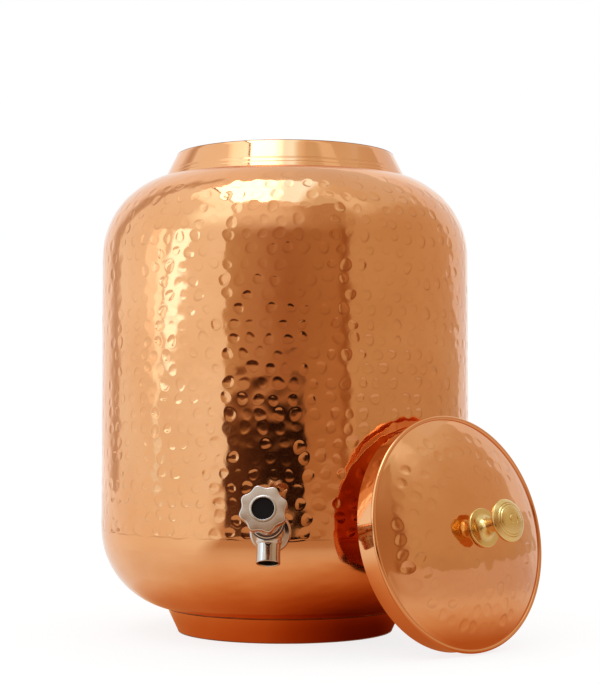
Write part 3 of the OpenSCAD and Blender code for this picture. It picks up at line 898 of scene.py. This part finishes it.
def wall_card(name, stops, edges, upper=None, distance=2.2):
    """A curved upright card.

    stops gives (bearing, colour) along its foot and upper along its top. Each edge up the card is
    (height, strength, share of upper), and may end with a first and last bearing of its own.
    """
    upper = upper or stops
    first, last = stops[0][0], stops[-1][0]
    count = max(4, int((last - first) / 1.5))
    points, tones = [], []
    for height, strength, share, *ends in edges:
        start, end = ends or (first, last)
        line, shades = [], []
        for part in np.linspace(0, 1, count + 1):
            line.append(place_of(start + part * (end - start), distance, height))
            bearing = first + part * (last - first)
            shades.append(strength * ((1 - share) * blend(stops, bearing) + share * blend(upper, bearing)))
        points.append(line)
        tones.append(shades)
    add_card(name, points, tones)


def flat(first, last, colour):
    """Stops of one colour between two bearings."""
    return [(first, colour), (last, colour)]


FRONT = [
    (-35.5, (0.62, 0.49, 0.33)), (-24, (0.545, 0.37, 0.23)), (-15, (0.51, 0.33, 0.21)),
    (-7, (0.445, 0.255, 0.14)), (1.5, (0.40, 0.21, 0.107)), (18, (0.43, 0.243, 0.117)),
    (27, (0.45, 0.25, 0.126)), (32, (0.45, 0.25, 0.12)), (34, (0.34, 0.155, 0.06)),
    (37, (0.34, 0.155, 0.06)), (38.5, (0.60, 0.44, 0.28)), (42, (0.61, 0.46, 0.30)),
]
FRONT_TOP = [
    (-35.5, (1.0, 1.0, 0.97)), (-12, (0.95, 0.92, 0.86)), (4, (0.82, 0.74, 0.64)),
    (14, (0.65, 0.50, 0.36)), (22, (0.56, 0.40, 0.26)), (42, (0.56, 0.40, 0.25)),
]
FRONT_UP = [
    (0, 1.1, 0), (0.3, 1, 0), (0.85, 0.98, 0), (1.05, 1, 0.12), (1.25, 1, 0.4), (1.6, 1, 0.72),
    (2.1, 1, 1), (3.15, 1, 1),
]
RIGHT = [
    (42, (0.62, 0.47, 0.30)), (85, (0.63, 0.47, 0.31)), (110, (0.65, 0.50, 0.35)),
    (128, (0.68, 0.55, 0.42)),
]
RIGHT_TOP = [
    (42, (0.76, 0.75, 0.64)), (49, (0.80, 0.79, 0.70)), (54, (0.98, 1.02, 0.99)),
    (67, (0.98, 1.02, 0.99)), (80, (0.82, 0.83, 0.76)), (128, (0.82, 0.83, 0.76)),
]
RIGHT_UP = [
    (0, 0.88, 0, 42, 136), (0.25, 0.96, 0, 42, 134), (0.45, 1, 0, 42, 122), (1.1, 1, 0, 42, 121),
    (1.9, 1, 0.15, 42, 121), (2.4, 1, 0.5, 42, 121), (3.0, 1, 0.9, 42, 121), (5.0, 1, 1, 42, 121),
]
LEFT = flat(-124, -35.5, (1.02, 1.10, 1.14))
LEFT_TOP = [
    (-124, (1.0, 1.08, 1.12)), (-72, (1.0, 1.08, 1.12)), (-58, (1.35, 1.75, 2.0)),
    (-35.5, (1.35, 1.75, 2.0)),
]
LEFT_UP = [(0, 0.93, 0), (0.2, 0.95, 0), (0.3, 1, 0), (0.8, 0.96, 0), (1.2, 1, 0), (2.0, 1, 1), (4.0, 1, 1)]
LEFT_LINE = [
    (-139, (1.0, 1.0, 1.0)), (-131, (0.74, 0.66, 0.60)), (-127.5, (0.60, 0.50, 0.41)),
    (-122.5, (0.71, 0.62, 0.54)), (-119, (1.0, 1.05, 1.08)),
]
LINE_UP = [(0, 1, 0), (2.5, 1, 0), (5.2, 1, 0)]
STRIP_UP = [
    (0.24, 0.5, 0, -79, -75.5), (0.28, 0.9, 0, -77, -70.5), (0.36, 1, 0, -75.5, -66),
    (0.43, 1, 0, -72.5, -60.5), (0.47, 1, 0, -71.5, -59), (1.1, 1, 0, -71.5, -59),
]
THIN_UP = [
    (0, 0.62, 0, -85, -81), (0.2, 0.78, 0, -85, -80.5), (0.31, 1, 0, -84.5, -79.5),
    (0.45, 1, 0, -82.5, -76.5), (1.1, 1, 0, -82.5, -76.5),
]
PALE_UP = [
    (0.2, 0.85, 0, -88, -85), (0.31, 1, 0, -91, -84.5), (0.45, 1.05, 0, -92, -82.5),
    (1.1, 1, 0, -92, -82.5),
]
DARK = [
    (-34, (0.12, 0.05, 0.025)), (-14, (0.045, 0.018, 0.011)), (-8, (0.02, 0.008, 0.006)),
    (11, (0.02, 0.008, 0.006)),
]
DARK_UP = [(0, 1, 0), (0.13, 1, 0), (0.16, 1, 0.25), (0.20, 1, 0.9)]
wall_card("card_front", FRONT, FRONT_UP, FRONT_TOP)
wall_card("card_right", RIGHT, RIGHT_UP, RIGHT_TOP)
wall_card("card_high", flat(14, 42, (0.78, 0.76, 0.66)), [(3.2, 1, 0), (5.0, 1, 0)])
FAR_UP = [(0, 1, 0), (1.5, 1, 0), (2.5, 1.15, 0)]
wall_card("card_far_right", flat(118, 152, (0.84, 0.81, 0.82)), FAR_UP, None, 2.25)
wall_card("card_left", LEFT, LEFT_UP, LEFT_TOP, 2.25)
wall_card("card_left_line", LEFT_LINE, LINE_UP)
wall_card("card_strip", flat(-74, -62, (1.72, 2.45, 3.2)), STRIP_UP, None, 2.1)
wall_card("card_strip_thin", flat(-90, -81, (1.48, 1.85, 2.15)), THIN_UP, None, 2.1)
wall_card("card_strip_pale", flat(-92, -82.5, (1.22, 1.33, 1.42)), PALE_UP, None, 2.12)
wall_card("card_dark", DARK, DARK_UP, flat(-34, 11, (0.40, 0.21, 0.107)), 1.15)

FLOOR_FAR = [
    (-180, (0.95, 0.95, 0.95)), (-45, (1.0, 1.05, 1.05)), (-35, (0.60, 0.42, 0.28)),
    (24, (0.53, 0.34, 0.20)), (31, (0.64, 0.46, 0.35)), (42, (0.69, 0.55, 0.47)),
    (110, (0.68, 0.57, 0.55)), (140, (0.85, 0.80, 0.80)), (180, (0.95, 0.95, 0.95)),
]
FLOOR_STEPS = [0.085, 0.107, 0.126, 0.151, 0.189, 0.23, 0.28]
FLOOR_RINGS = [
    0.08, 0.09, 0.1, 0.112, 0.126, 0.14, 0.155, 0.17, 0.2, 0.23, 0.26, 0.3, 0.4, 0.5, 0.6, 1.1, 2.2,
]


def floor_tone(distance, bearing):
    """The floor's painted shadow and bounce light, as reflections see it.

    It takes light off the copper beside the foot, is dim on the lid's side and paler far out.
    """
    lid_side = np.interp(bearing, [-45, -10, 15, 32, 60, 110, 150], [0, 0.22, 0.7, 0.95, 1, 0.6, 0])
    left = np.interp(bearing, [-60, -25, 130, 170], [1, 0, 0, 1])
    beside = np.interp(bearing, [0, 20, 40, 60, 110, 130], [0, 0.3, 1, 1, 0.6, 0])
    near = (1 - left - beside) * np.interp(distance, FLOOR_STEPS, [0.91, 0.74, 0.54, 0.3, 0.12, 0.04, 0])
    near += left * np.interp(distance, FLOOR_STEPS, [0.9, 0.7, 0.38, 0.08, 0.02, 0, 0])
    near += beside * np.interp(distance, FLOOR_STEPS, [0.93, 0.79, 0.64, 0.4, 0.4, 0.15, 0])
    warm = np.interp(bearing, [-70, -30, 130, 170], [0, 0.15, 0.15, 0])
    bounces = near * (1.7 + 2 * lid_side) + warm
    tone = (0.9 - near * (0.25 + 0.58 * lid_side)) * np.array(COPPER) ** bounces
    far = np.interp(distance, [0.2, 0.42], [0, 1])
    return (1 - far) * tone + far * blend(FLOOR_FAR, bearing)


def floor_card():
    """A ring on the floor that only reflections see, painted with the floor's shadow and bounce light."""
    bearings = np.linspace(-180, 180, 73)
    points, tones = [], []
    for distance in FLOOR_RINGS:
        points.append([place_of(bearing, distance, 0.0006) for bearing in bearings])
        tones.append([floor_tone(distance, bearing) for bearing in bearings])
    add_card("card_floor", points, tones)


floor_card()


TOP_HEIGHT = 1.7


def top_card(name, front, back, sides):
    """A pale panel above the pot, between two depths, from (place across, colour) along it."""
    points = [[(x, y, TOP_HEIGHT) for x, _ in sides] for y in (front, back)]
    tones = [[colour for _, colour in sides] for _ in (front, back)]
    add_card(name, points, tones)


TOP_SIDES = [
    (-0.64, (4.0, 4.4, 5.2)), (-0.18, (4.0, 4.4, 5.2)), (0.04, (1.35, 1.85, 2.5)),
    (0.2, (1.25, 1.95, 2.7)), (0.32, (1.0, 1.1, 1.1)), (0.46, (0.85, 0.8, 0.7)),
]
RIGHT_SIDES = [(0.461, (0.85, 0.8, 0.7)), (0.75, (0.78, 0.72, 0.62)), (1.5, (0.78, 0.74, 0.64))]
BACK_SIDES = [
    (-0.5, (1.0, 0.99, 0.97)), (-0.25, (0.95, 0.94, 0.92)), (0.05, (0.8, 0.78, 0.76)),
    (1.4, (0.78, 0.75, 0.7)),
]
LEFT_SIDES = [
    (-1.10, (1.2, 1.25, 1.3)), (-1.0, (1.5, 1.7, 1.9)), (-0.69, (1.6, 1.95, 2.3)),
    (-0.685, (0.3, 0.28, 0.25)), (-0.645, (0.3, 0.28, 0.25)),
]
top_card("card_top", -0.92, 0.05, TOP_SIDES)
top_card("card_top_right", -0.35, 0.05, RIGHT_SIDES)
top_card("card_top_back", 0.051, 1.1, BACK_SIDES)
top_card("card_top_side", -0.95, 0.05, LEFT_SIDES)

world = bpy.data.worlds.new("white_world")
bpy.context.scene.world = world
world.use_nodes = True
background = world.node_tree.nodes["Background"]
background.inputs["Color"].default_value = (1, 1, 1, 1)
background.inputs["Strength"].default_value = 1.0

lamp = bpy.data.lights.new("key", "AREA")
lamp.shape = "RECTANGLE"
lamp.size, lamp.size_y = 1.2, 1.0
lamp.energy = 3
key = bpy.data.objects.new("key", lamp)
bpy.context.scene.collection.objects.link(key)
key.location = (-0.9, -0.9, 1.8)
key.rotation_euler = Vector((0.9, 0.9, -1.65)).to_track_quat("-Z", "Y").to_euler()
key.visible_glossy = False

# Camera, fitted to the pot's outline in the photograph

DISTANCE = 1.26835
EYE_HEIGHT = 0.16302
PITCH = 2.393
YAW = 0.505
FOCAL_PIXELS = 1677.4
PICTURE_HEIGHT = 684
SENSOR = 36
lens = bpy.data.cameras.new("camera")
lens.sensor_width = SENSOR
lens.sensor_fit = "AUTO"
lens.lens = SENSOR * FOCAL_PIXELS / PICTURE_HEIGHT
lens.clip_end = 50
camera = bpy.data.objects.new("camera", lens)
bpy.context.scene.collection.objects.link(camera)
side = math.radians(VIEW_SIDE)
camera.matrix_world = (
    Matrix.Translation((DISTANCE * math.sin(side), -DISTANCE * math.cos(side), EYE_HEIGHT))
    @ turn_z(VIEW_SIDE - YAW)
    @ turn_x(90 + PITCH)
)
bpy.context.scene.camera = camera
bpy.context.scene.view_settings.view_transform = "Standard"
